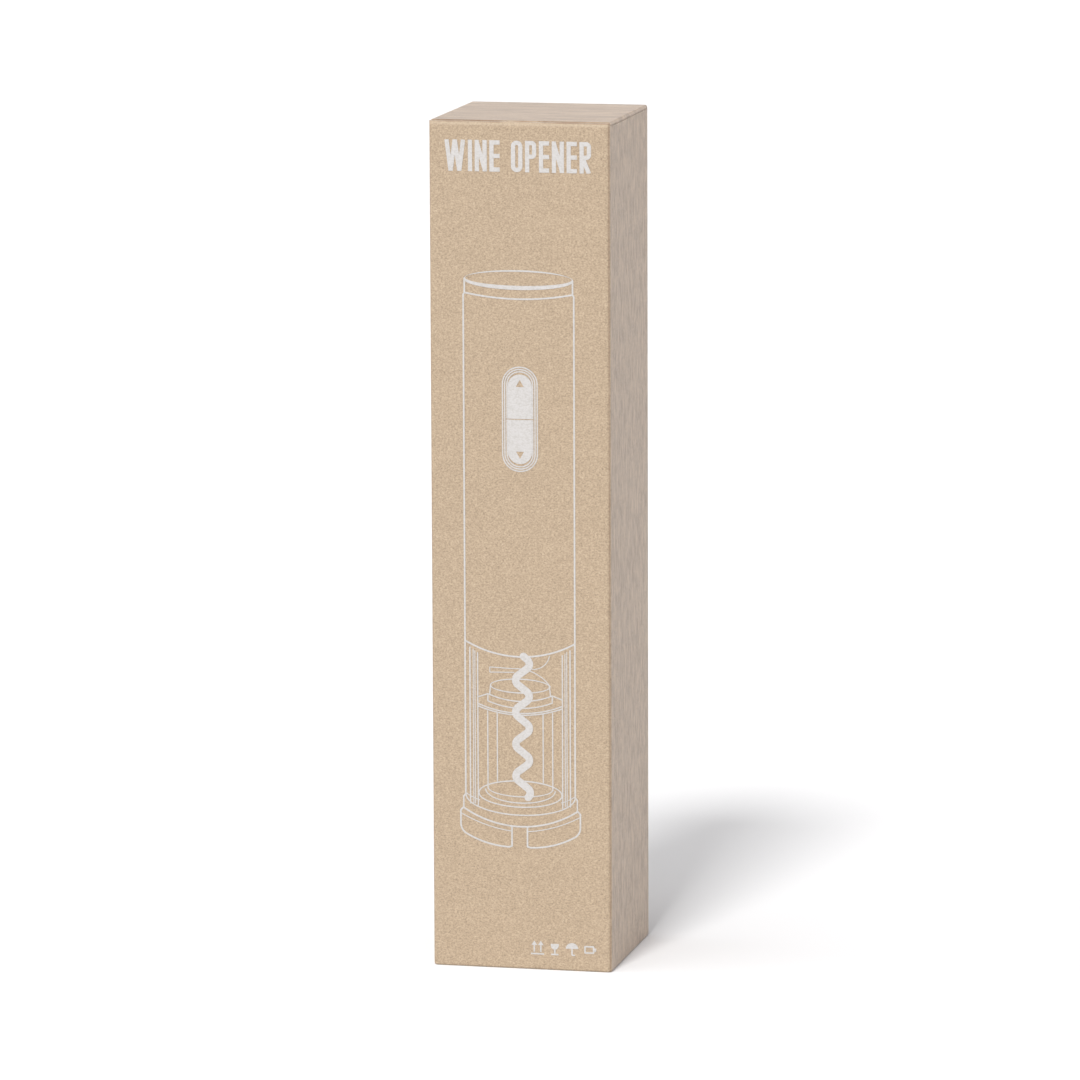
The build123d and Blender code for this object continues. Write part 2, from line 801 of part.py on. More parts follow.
# =====================================================================
# Body: shell, rocker switch and the fixed parts of the drive
# =====================================================================

front_plane = Plane(origin=(0, 0, up(rocker_z)), x_dir=(1, 0, 0), z_dir=(0, -1, 0))


def stadium(length, width, low, high, mode):
    """An upright round-ended block at the rocker, from one depth to another towards the front."""
    with BuildSketch(front_plane.offset(low)) as face:
        RectangleRounded(width, length, width / 2 - 0.01)
    extrude(face.sketch, amount=high - low, mode=mode)


def cross_hole(radius, mode=Mode.SUBTRACT, length=13.0):
    """The rocker's pivot, along X."""
    with BuildSketch(Plane.YZ) as end:
        with Locations((pivot_y, up(rocker_z))):
            Circle(radius)
    extrude(end.sketch, amount=length / 2, both=True, mode=mode)


with BuildPart() as body_shell:
    tube(shell_radius, shell_bore_radius, sleeve_shoulder + 0.05, shell_top - 0.05)
    stadium(surround_length + 0.1, surround_width + 0.1, 15, 25, Mode.SUBTRACT)
finish(body_shell, "body_shell")

with BuildPart() as rocker_bezel:
    tube(bezel_face, bezel_back, rocker_z - 30, rocker_z + 30)
    stadium(surround_length, surround_width, 15, 25, Mode.INTERSECT)
    stadium(bezel_inner_length, bezel_inner_width, 10, 30, Mode.SUBTRACT)
    # a fine groove all round the face
    with BuildSketch(front_plane.offset(bezel_groove_floor)):
        for narrower, mode in ((bezel_groove_outer, Mode.ADD), (bezel_groove_inner, Mode.SUBTRACT)):
            wide, tall = surround_width - narrower, surround_length - narrower
            RectangleRounded(wide, tall, wide / 2 - 0.05, mode=mode)
    extrude(amount=3, mode=Mode.SUBTRACT)
    cross_hole(rocker_pin_radius)
finish(rocker_bezel, "rocker_bezel")

with BuildPart() as rocker_button:
    tube(rocker_face, rocker_back - 1.3, rocker_z - 25, rocker_z + 25)
    stadium(rocker_length, rocker_width, rocker_back, 25, Mode.INTERSECT)
    with Locations((0, pivot_y + 0.3, up(rocker_z))):
        Box(8.4, 2.6, 4.0)
    # a fine groove across the middle
    with Locations((0, -rocker_face, up(rocker_z))):
        Box(rocker_width + 1, 0.7, 0.5, mode=Mode.SUBTRACT)
    # a triangle at each end: one for down, one for up
    with BuildSketch(front_plane.offset(rocker_face - rocker_triangle_depth)):
        for side in (-1, 1):
            with Locations((0, side * rocker_triangle_z)):
                Triangle(a=3.4, b=3.5, c=3.5, rotation=90 - 90 * side)
    extrude(amount=1, mode=Mode.SUBTRACT)
    cross_hole(rocker_pin_radius + running_gap)
finish(rocker_button, "rocker_button")

with BuildPart() as rocker_pin:
    cross_hole(rocker_pin_radius, Mode.ADD, 12.4)
finish(rocker_pin, "rocker_pin")

with BuildPart() as switch_board:
    with BuildSketch(front_plane.offset(board_back)):
        RectangleRounded(board_width, board_length, 1)
    extrude(amount=board_thickness)
finish(switch_board, "switch_board")

with BuildPart() as tact_switches:
    board_front = board_back + board_thickness
    for side in (-1, 1):
        with BuildSketch(front_plane.offset(board_front)):
            with Locations((0, side * switch_z)):
                RectangleRounded(switch_side, switch_side, 0.4)
        extrude(amount=switch_height)
        with BuildSketch(front_plane.offset(board_front + switch_height)):
            with Locations((0, side * switch_z)):
                Circle(plunger_radius)
        extrude(amount=plunger_height)
finish(tact_switches, "tact_switches")

with BuildPart() as lower_bulkhead:
    turned(
        (bush_radius, bulkhead_boss_low),
        (bulkhead_boss_radius, bulkhead_boss_low),
        (bulkhead_boss_radius, bulkhead_low),
        (shell_bore_radius - 0.05, bulkhead_low),
        (shell_bore_radius - 0.05, bulkhead_top),
        (bush_radius, bulkhead_top),
    )
finish(lower_bulkhead, "lower_bulkhead")

with BuildPart() as thrust_bush:
    tube(bush_radius - 0.02, chuck_radius + running_gap, bulkhead_boss_low, bush_top)
finish(thrust_bush, "thrust_bush")

spring_height = bulkhead_low - tier_one_top - spring_wire - 2 * spring_end_gap
with BuildPart() as return_spring:
    with BuildLine():
        spring_line = Helix(
            pitch=spring_height / spring_turns,
            height=spring_height,
            radius=spring_radius,
            center=(0, 0, up(tier_one_top + spring_wire / 2 + spring_end_gap)),
        )
    with BuildSketch(Plane(origin=spring_line @ 0, z_dir=spring_line % 0)):
        Circle(spring_wire / 2)
    sweep(path=spring_line, is_frenet=True)
finish(return_spring, "return_spring")

with BuildPart() as worm:
    with BuildLine():
        worm_line = Helix(
            pitch=worm_pitch,
            height=chuck_low + worm_root_depth - worm_low,
            radius=(worm_outer - worm_wire) / 2,
            center=(0, 0, up(worm_low)),
        )
    with BuildSketch(Plane(origin=worm_line @ 0, z_dir=worm_line % 0)):
        Circle(worm_wire / 2)
    sweep(path=worm_line, is_frenet=True)
    # the ground point carries on along the wire
    with BuildSketch(Plane(origin=worm_line @ 0, z_dir=-(worm_line % 0))):
        Circle(worm_wire / 2)
    extrude(amount=worm_point_length, taper=worm_point_taper)
finish(worm, "worm")

with BuildPart() as worm_chuck:
    peg(0, 0, chuck_low, output_plate_low, chuck_radius)
    fillet(worm_chuck.faces().sort_by(Axis.Z)[0].edges(), chuck_nose_round)
finish(worm_chuck, "worm_chuck")

# =====================================================================
# Two-stage planetary gearbox
# =====================================================================


def gear_outline(teeth, root, tip, slack):
    """Corner points of an involute gear, one tooth pointing along +X."""
    pitch_radius = gear_module * teeth / 2
    base_radius = pitch_radius * cos(pressure_angle)

    def half_angle(radius):
        """Half the angle that a tooth spans at a radius."""
        pressure = acos(min(1.0, base_radius / max(radius, base_radius)))
        involute = tan(pressure) - pressure
        at_pitch = tan(pressure_angle) - pressure_angle
        return (pi / 2) / teeth + slack / pitch_radius + at_pitch - involute

    radii = [root, max(root, base_radius), (pitch_radius + max(root, base_radius)) / 2]
    radii += [pitch_radius, (pitch_radius + tip) / 2, tip]
    radii = sorted(set(radii))
    corners = []
    for tooth in range(teeth):
        middle = 2 * pi * tooth / teeth
        flank = [(radius, half_angle(radius)) for radius in radii]
        for radius, angle in flank:
            corners.append((radius * cos(middle - angle), radius * sin(middle - angle)))
        for radius, angle in reversed(flank):
            corners.append((radius * cos(middle + angle), radius * sin(middle + angle)))
    return corners


def gear_face(teeth, mode=Mode.ADD):
    """An outer gear's face about the current location."""
    pitch_radius = gear_module * teeth / 2
    root = pitch_radius - dedendum * gear_module
    tip = pitch_radius + addendum * gear_module
    Polygon(*gear_outline(teeth, root, tip, -tooth_slack), align=None, mode=mode)


with BuildPart() as ring_gear:
    with BuildSketch(Plane.XY.offset(up(ring_low))):
        Circle(ring_radius)
        ring_pitch = gear_module * ring_teeth / 2
        Polygon(
            *gear_outline(
                ring_teeth,
                ring_pitch - addendum * gear_module,
                ring_pitch + dedendum * gear_module,
                tooth_slack,
            ),
            align=None,
            mode=Mode.SUBTRACT,
        )
    extrude(amount=ring_top - ring_low)
finish(ring_gear, "ring_gear")


def carrier(low, pin_top):
    """A planet carrier's plate with its three pins, in the current part."""
    peg(0, 0, low, low + carrier_thickness, carrier_plate_radius)
    for index in range(3):
        angle = radians(120 * index)
        x, y = planet_distance * cos(angle), planet_distance * sin(angle)
        peg(x, y, low + carrier_thickness, pin_top, planet_pin_radius)


with BuildPart() as output_carrier:
    carrier(output_plate_low, stage_two_low + gear_width + planet_pin_stand)
finish(output_carrier, "output_carrier")

with BuildPart() as first_carrier:
    carrier(first_plate_low, stage_one_low + gear_width + planet_pin_stand)
    with BuildSketch(Plane.XY.offset(up(stage_two_low))):
        gear_face(sun_teeth)
    extrude(amount=first_plate_low - stage_two_low)
finish(first_carrier, "first_carrier")

for stage, low in (("output", stage_two_low), ("first", stage_one_low)):
    for index in range(3):
        angle = 120 * index
        centre = (
            planet_distance * cos(radians(angle)),
            planet_distance * sin(radians(angle)),
            up(low),
        )
        across = (cos(radians(angle)), sin(radians(angle)), 0)
        with BuildPart() as planet:
            with BuildSketch(Plane(origin=centre, x_dir=across, z_dir=(0, 0, 1))):
                gear_face(planet_teeth)
                Circle(planet_pin_radius + running_gap, mode=Mode.SUBTRACT)
            extrude(amount=gear_width)
        finish(planet, f"{stage}_planet_{index + 1}")

# =====================================================================
# Motor, chassis, cells and cap
# =====================================================================

with BuildPart() as motor_plate:
    tube(ring_radius, motor_plate_bore_radius, ring_top + 0.05, motor_low - 0.05)
finish(motor_plate, "motor_plate")

with BuildPart() as motor_can:
    tube(motor_radius, motor_nose_radius, motor_low, motor_top)
    tube(motor_radius - 0.9, 0, motor_low + 1.2, motor_top, Mode.SUBTRACT)
finish(motor_can, "motor_can")

with BuildPart() as motor_armature:
    peg(0, 0, motor_sun_low, motor_cap_top + 0.5, shaft_radius)
    with BuildSketch(Plane.XY.offset(up(motor_sun_low))):
        gear_face(sun_teeth)
    extrude(amount=gear_width)
    peg(0, 0, armature_low, armature_top, armature_radius)
    peg(0, 0, armature_top, commutator_top, commutator_radius)
finish(motor_armature, "motor_armature")

with BuildPart() as motor_end_cap:
    tube(motor_radius, shaft_radius + running_gap, motor_top, motor_cap_top)
    chamfer(motor_end_cap.faces().sort_by(Axis.Z)[-1].outer_wire().edges(), 0.6)
finish(motor_end_cap, "motor_end_cap")

screw_places = [(y, up(z)) for y in (-screw_y, screw_y) for z in (screw_low, screw_high)]
for side, node in ((-1, "chassis_left"), (1, "chassis_right")):
    with BuildPart() as chassis:
        tube(chassis_radius, ring_radius + 0.02, bulkhead_top + 0.05, motor_low)
        tube(chassis_radius, motor_radius + 0.02, motor_low, motor_cap_top)
        tube(chassis_radius, chassis_top_bore_radius, motor_cap_top, chassis_top)
        with BuildSketch(Plane.XY.offset(up(bulkhead_top))):
            with Locations((side * (half + 0.05), 0)):
                Rectangle(carton_side, carton_side)
        extrude(amount=chassis_top - bulkhead_top + 1, mode=Mode.INTERSECT)
        with BuildSketch(Plane.YZ):
            with Locations(*screw_places):
                Circle(screw_radius)
        extrude(amount=13 if side > 0 else -6, mode=Mode.SUBTRACT)
        if side > 0:
            with BuildSketch(Plane.YZ.offset(screw_head_seat)):
                with Locations(*screw_places):
                    Circle(screw_head_radius + 0.3)
            extrude(amount=10, mode=Mode.SUBTRACT)
    finish(chassis, node)

with BuildPart() as chassis_screws:
    with BuildSketch(Plane.YZ.offset(-5.9)):
        with Locations(*screw_places):
            Circle(screw_radius)
    extrude(amount=5.9 + screw_head_seat)
    with BuildSketch(Plane.YZ.offset(screw_head_seat)):
        with Locations(*screw_places):
            Circle(screw_head_radius)
    extrude(amount=screw_head_height)
finish(chassis_screws, "chassis_screws")

cell_places = [(x, y) for x in (-cell_offset, cell_offset) for y in (-cell_offset, cell_offset)]
with BuildPart() as battery_carrier:
    peg(0, 0, carrier_low, carrier_top, chassis_radius)
    for x, y in cell_places:
        peg(x, y, cell_low - 0.8, carrier_top, cell_radius + 0.1, Mode.SUBTRACT)
    # the front is cut flat behind the switch board
    with BuildSketch(Plane.XY.offset(up(carrier_low))):
        with Locations((0, -board_back + 0.1 - 10)):
            Rectangle(carton_side, 20)
    extrude(amount=carrier_top - carrier_low, mode=Mode.SUBTRACT)
finish(battery_carrier, "battery_carrier")

with BuildPart() as battery_cells:
    for x, y in cell_places:
        peg(x, y, cell_low, cell_low + cell_length - 1, cell_radius)
        peg(x, y, cell_low + cell_length - 1, cell_low + cell_length, cell_button_radius)
finish(battery_cells, "battery_cells")

with BuildPart() as battery_contacts:
    for x, y in cell_places:
        peg(x, y, cell_low - 0.8, cell_low, contact_radius)
finish(battery_contacts, "battery_contacts")

with BuildPart() as motor_leads:
    for side in (-1, 1):
        with BuildLine() as lead_line:
            FilletPolyline(
                (side * 8, 4, up(motor_cap_top)),
                (side * 8, 4, up(motor_cap_top + 1.8)),
                (side * 3, 7, up(motor_cap_top + 2.0)),
                (side * 3, 7, up(carrier_low)),
                radius=lead_bend,
            )
        with BuildSketch(Plane.XY.offset(up(motor_cap_top))):
            with Locations((side * 8, 4)):
                Circle(lead_radius)
        sweep(path=lead_line.wire())
finish(motor_leads, "motor_leads")

with BuildPart() as top_cap:
    turned(
        (0, shell_top),
        (cap_bore_radius, shell_top),
        (cap_bore_radius, cap_skirt_low),
        (cap_skirt_radius, cap_skirt_low),
        (cap_skirt_radius, seal_groove_low),
        (seal_inner_radius - 0.05, seal_groove_low),
        (seal_inner_radius - 0.05, seal_groove_top),
        (cap_skirt_radius, seal_groove_top),
        (cap_skirt_radius, shell_top),
        (cap_radius, shell_top),
        (cap_radius, opener_height - 1.0),
        (cap_radius - 0.3, opener_height - 0.3),
        (cap_radius - 1.0, opener_height),
        (cap_recess_radius, opener_height),
        (cap_recess_radius, cap_recess_floor),
        (0, cap_recess_floor),
    )
finish(top_cap, "top_cap")

with BuildPart() as cap_plate:
    peg(0, 0, cap_recess_floor, cap_recess_floor + 0.6, cap_recess_radius - 0.05)
    fillet(cap_plate.faces().sort_by(Axis.Z)[-1].edges(), 0.3)
finish(cap_plate, "cap_plate")

with BuildPart() as cap_seal:
    turned(
        (seal_inner_radius, seal_groove_low + 0.1),
        (shell_bore_radius - 0.4, seal_groove_low + 0.1),
        (shell_bore_radius - 0.05, seal_groove_low + 0.45),
        (shell_bore_radius - 0.05, seal_groove_top - 0.45),
        (shell_bore_radius - 0.4, seal_groove_top - 0.1),
        (seal_inner_radius, seal_groove_top - 0.1),
    )
finish(cap_seal, "cap_seal")
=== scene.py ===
import json
import math
import bmesh
import bpy
from mathutils import Matrix, Vector


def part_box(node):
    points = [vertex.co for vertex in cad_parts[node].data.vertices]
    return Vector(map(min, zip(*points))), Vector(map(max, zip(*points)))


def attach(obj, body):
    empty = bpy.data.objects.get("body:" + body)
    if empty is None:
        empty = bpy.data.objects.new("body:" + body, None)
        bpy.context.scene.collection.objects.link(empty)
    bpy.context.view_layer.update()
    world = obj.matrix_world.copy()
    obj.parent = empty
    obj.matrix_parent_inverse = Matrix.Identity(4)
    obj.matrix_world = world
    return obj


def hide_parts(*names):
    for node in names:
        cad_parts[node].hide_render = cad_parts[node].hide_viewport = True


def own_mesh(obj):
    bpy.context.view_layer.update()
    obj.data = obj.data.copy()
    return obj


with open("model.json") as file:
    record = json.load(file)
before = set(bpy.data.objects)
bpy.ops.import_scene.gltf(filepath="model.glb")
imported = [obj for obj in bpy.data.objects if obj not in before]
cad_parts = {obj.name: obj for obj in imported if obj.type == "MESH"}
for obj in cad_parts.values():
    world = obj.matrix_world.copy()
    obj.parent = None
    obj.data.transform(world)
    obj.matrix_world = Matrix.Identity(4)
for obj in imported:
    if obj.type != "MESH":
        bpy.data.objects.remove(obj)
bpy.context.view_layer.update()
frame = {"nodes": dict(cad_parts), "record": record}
scene = bpy.context.scene
nodes = frame["nodes"]
MM = 0.001

# ------------------------------------------------------------------
# Camera, floor and lights
# ------------------------------------------------------------------

CAMERA_AZIMUTH = math.radians(12.84)
CAMERA_ELEVATION = math.radians(9.27)
CAMERA_ROLL = math.radians(0.22)
CAMERA_DISTANCE = 2.381
CAMERA_LENS = 240.5
CAMERA_SENSOR = 36
CAMERA_FAR = 50
CAMERA_AIM = Vector((0, 0, 0.1400))
CAMERA_SLIDE = -0.0003
CAMERA_LIFT = -0.00177

KEY_AZIMUTH = math.radians(-5)
KEY_ELEVATION = math.radians(50)
KEY_SOFTNESS = math.radians(13)
KEY_STRENGTH = 2.5
FILL_AZIMUTH = math.radians(-6)
FILL_ELEVATION = math.radians(20)
FILL_SOFTNESS = math.radians(75)
FILL_STRENGTH = 1.45
SIDE_AZIMUTH = math.radians(-70)
SIDE_ELEVATION = math.radians(30)
SIDE_SOFTNESS = math.radians(60)
SIDE_STRENGTH = 0.8
SKY_STRENGTH = 0.43
# bright panels in the sky: sideways direction where each starts and is full, and its strength
SKY_PANELS = ((-0.55, -0.75, 0.45), (0.60, 0.85, 0.86))
SKY_TINT = (0.97, 0.935, 0.98, 1)
SKY_TINT_START = -0.1
SKY_TINT_FULL = 0.5
FLOOR_WHITE = 0.76
FLOOR_ROUGHNESS = 0.9
FLOOR_HALF_WIDTH = 12


def direction(azimuth, elevation):
    """Unit vector from the object towards a viewer at that azimuth and elevation."""
    flat = math.cos(elevation)
    return Vector((math.sin(azimuth) * flat, -math.cos(azimuth) * flat, math.sin(elevation)))


def make_camera():
    """The camera, at the height and turn that the carton is seen from."""
    data = bpy.data.cameras.new("camera")
    data.lens = CAMERA_LENS
    data.sensor_width = CAMERA_SENSOR
    data.clip_end = CAMERA_FAR
    camera = bpy.data.objects.new("camera", data)
    back = direction(CAMERA_AZIMUTH, CAMERA_ELEVATION)
    turn = back.to_track_quat("Z", "Y")
    right = turn @ Vector((1, 0, 0))
    rise = turn @ Vector((0, 1, 0))
    shift = right * CAMERA_SLIDE + rise * CAMERA_LIFT
    camera.location = CAMERA_AIM + back * CAMERA_DISTANCE + shift
    roll = Matrix.Rotation(-CAMERA_ROLL, 3, "Z")
    camera.rotation_euler = (turn.to_matrix() @ roll).to_euler()
    scene.collection.objects.link(camera)
    scene.camera = camera


def make_sun(name, azimuth, elevation, strength, softness):
    """A distant light from that azimuth and elevation."""
    data = bpy.data.lights.new(name, "SUN")
    data.energy = strength
    data.angle = softness
    sun = bpy.data.objects.new(name, data)
    sun.rotation_euler = direction(azimuth, elevation).to_track_quat("Z", "Y").to_euler()
    scene.collection.objects.link(sun)


def make_sky():
    """A pale sky: even overhead, with a bright panel on each side, and mauve to the right."""
    world = bpy.data.worlds.new("sky")
    world.use_nodes = True
    tree = world.node_tree
    split = tree.nodes.new("ShaderNodeSeparateXYZ")
    tree.links.new(tree.nodes.new("ShaderNodeTexCoord").outputs["Generated"], split.inputs[0])
    total = None
    for start, full, strength in SKY_PANELS:
        panel = tree.nodes.new("ShaderNodeMapRange")
        panel.interpolation_type = "SMOOTHSTEP"
        panel.inputs["From Min"].default_value = start
        panel.inputs["From Max"].default_value = full
        panel.inputs["To Max"].default_value = strength
        tree.links.new(split.outputs["X"], panel.inputs["Value"])
        add = tree.nodes.new("ShaderNodeMath")
        tree.links.new(panel.outputs["Result"], add.inputs[0])
        if total is None:
            add.inputs[1].default_value = SKY_STRENGTH
        else:
            tree.links.new(total, add.inputs[1])
        total = add.outputs[0]
    tint = tree.nodes.new("ShaderNodeMix")
    tint.data_type = "RGBA"
    tint.inputs[6].default_value = (1, 1, 1, 1)
    tint.inputs[7].default_value = SKY_TINT
    spread = tree.nodes.new("ShaderNodeMapRange")
    spread.inputs["From Min"].default_value = SKY_TINT_START
    spread.inputs["From Max"].default_value = SKY_TINT_FULL
    tree.links.new(split.outputs["X"], spread.inputs["Value"])
    tree.links.new(spread.outputs["Result"], tint.inputs["Factor"])
    sky = tree.nodes["Background"]
    tree.links.new(tint.outputs[2], sky.inputs["Color"])
    tree.links.new(total, sky.inputs["Strength"])
    scene.world = world


def make_lights():
    """A key that throws the shadow back, broad low fills from the front and left, and the sky."""
    make_sun("key", KEY_AZIMUTH, KEY_ELEVATION, KEY_STRENGTH, KEY_SOFTNESS)
    make_sun("fill", FILL_AZIMUTH, FILL_ELEVATION, FILL_STRENGTH, FILL_SOFTNESS)
    make_sun("side", SIDE_AZIMUTH, SIDE_ELEVATION, SIDE_STRENGTH, SIDE_SOFTNESS)
    make_sky()


def make_floor():
    """A plain pale floor, far wider than the view."""
    shape = bmesh.new()
    bmesh.ops.create_grid(shape, x_segments=1, y_segments=1, size=FLOOR_HALF_WIDTH)
    mesh = bpy.data.meshes.new("floor")
    shape.to_mesh(mesh)
    shape.free()
    floor = bpy.data.objects.new("floor", mesh)
    scene.collection.objects.link(floor)
    paint = bpy.data.materials.new("floor_white")
    paint.use_nodes = True
    shader = paint.node_tree.nodes["Principled BSDF"]
    shader.inputs["Base Color"].default_value = (FLOOR_WHITE, FLOOR_WHITE, FLOOR_WHITE, 1)
    shader.inputs["Roughness"].default_value = FLOOR_ROUGHNESS
    shader.inputs["Specular IOR Level"].default_value = 0.0
    mesh.materials.append(paint)


scene.view_settings.view_transform = "Standard"
scene.view_settings.look = "None"
make_camera()
make_lights()
make_floor()

# ------------------------------------------------------------------
# Material kit
# ------------------------------------------------------------------


class Finish:
    """One material: its node tree, and short words for the nodes that it is built from."""

    def __init__(self, name, roughness=0.5, metallic=0.0, **sockets):
        self.material = bpy.data.materials.new(name)
        self.material.use_nodes = True
        self.tree = self.material.node_tree
        self.shader = self.tree.nodes["Principled BSDF"]
        self.shader.inputs["Roughness"].default_value = roughness
        self.shader.inputs["Metallic"].default_value = metallic
        for socket, value in sockets.items():
            self.shader.inputs[socket.replace("_", " ")].default_value = value
        self.place = self.tree.nodes.new("ShaderNodeTexCoord").outputs["Object"]
        self.relief = None

    def link(self, source, target):
        """Joins an output to an input, or sets a plain value."""
        if isinstance(source, bpy.types.NodeSocket):
            self.tree.links.new(source, target)
        else:
            target.default_value = source

    def stretch(self, x, y, z):
        """Object coordinates in pattern cells per metre along each axis."""
        mapping = self.tree.nodes.new("ShaderNodeMapping")
        mapping.inputs["Scale"].default_value = (x, y, z)
        self.link(self.place, mapping.inputs["Vector"])
        return mapping.outputs["Vector"]

    def noise(self, scale, detail=2.0, rough=0.5, warp=0.0, coords=None):
        """Soft random pattern, with this many cells per metre."""
        texture = self.tree.nodes.new("ShaderNodeTexNoise")
        texture.inputs["Scale"].default_value = scale
        texture.inputs["Detail"].default_value = detail
        texture.inputs["Roughness"].default_value = rough
        texture.inputs["Distortion"].default_value = warp
        self.link(coords or self.place, texture.inputs["Vector"])
        return texture.outputs["Fac"]

    def fit(self, value, low, high, to_low=0.0, to_high=1.0):
        """Maps one range smoothly to another, clamped."""
        node = self.tree.nodes.new("ShaderNodeMapRange")
        node.interpolation_type = "SMOOTHSTEP"
        self.link(value, node.inputs["Value"])
        ends = zip(("From Min", "From Max", "To Min", "To Max"), (low, high, to_low, to_high))
        for socket, number in ends:
            node.inputs[socket].default_value = number
        return node.outputs["Result"]

    def maths(self, operation, first, second=0.0):
        """One arithmetic step."""
        node = self.tree.nodes.new("ShaderNodeMath")
        node.operation = operation
        self.link(first, node.inputs[0])
        self.link(second, node.inputs[1])
        return node.outputs[0]

    def axis(self, name):
        """One object coordinate, in metres."""
        node = self.tree.nodes.new("ShaderNodeSeparateXYZ")
        self.link(self.place, node.inputs[0])
        return node.outputs[name]

    def blend(self, amount, first, second, kind="MIX"):
        """Mixes two colours."""
        node = self.tree.nodes.new("ShaderNodeMix")
        node.data_type = "RGBA"
        node.blend_type = kind
        self.link(amount, node.inputs["Factor"])
        for socket, colour in ((node.inputs[6], first), (node.inputs[7], second)):
            self.link(colour if isinstance(colour, bpy.types.NodeSocket) else (*colour, 1), socket)
        return node.outputs[2]

    def bump(self, height, depth, strength=1.0):
        """Adds relief, with its depth in metres."""
        node = self.tree.nodes.new("ShaderNodeBump")
        node.inputs["Strength"].default_value = strength
        node.inputs["Distance"].default_value = depth
        self.link(height, node.inputs["Height"])
        if self.relief:
            self.link(self.relief, node.inputs["Normal"])
        self.relief = node.outputs["Normal"]
        self.link(self.relief, self.shader.inputs["Normal"])

    def colour(self, source):
        """Sets the base colour."""
        flat = isinstance(source, bpy.types.NodeSocket)
        self.link(source if flat else (*source, 1), self.shader.inputs["Base Color"])

    def rough(self, source):
        """Sets the roughness."""
        self.link(source, self.shader.inputs["Roughness"])


# ------------------------------------------------------------------
# Materials
# ------------------------------------------------------------------

# kraft board, and where its bends and raw edges lie from the middle of the carton's base
KRAFT_LIGHT = (0.430, 0.332, 0.228)
KRAFT_MIDDLE = (0.322, 0.243, 0.163)
KRAFT_DARK = (0.212, 0.153, 0.097)
# pale flecks, and the painted highlight on the front panel's top lip
KRAFT_PALE_FLECK_AND_HIGHLIGHT = (0.500, 0.405, 0.300)
KRAFT_SPECK = (0.120, 0.080, 0.048)
# bruised board, and the painted shade in the creases and in the seam at the top
KRAFT_BRUISE_AND_SHADE = (0.190, 0.110, 0.058)
KRAFT_SHEEN = (1.0, 0.93, 0.92, 1)
PANEL_FLAT = 28.9 * MM
BEND_START = 29.3 * MM
BEND_FULL = 29.6 * MM
FRONT_START = 29.4 * MM
FRONT_FULL = 29.8 * MM
LIP_LOW = 278.2 * MM
LIP_FULL = 278.9 * MM
RAW_EDGE_LOW = 279.35 * MM
RAW_EDGE_FULL = 279.55 * MM
RAW_EDGE_BACK = 27.9 * MM
RAW_EDGE_FRONT = 28.2 * MM


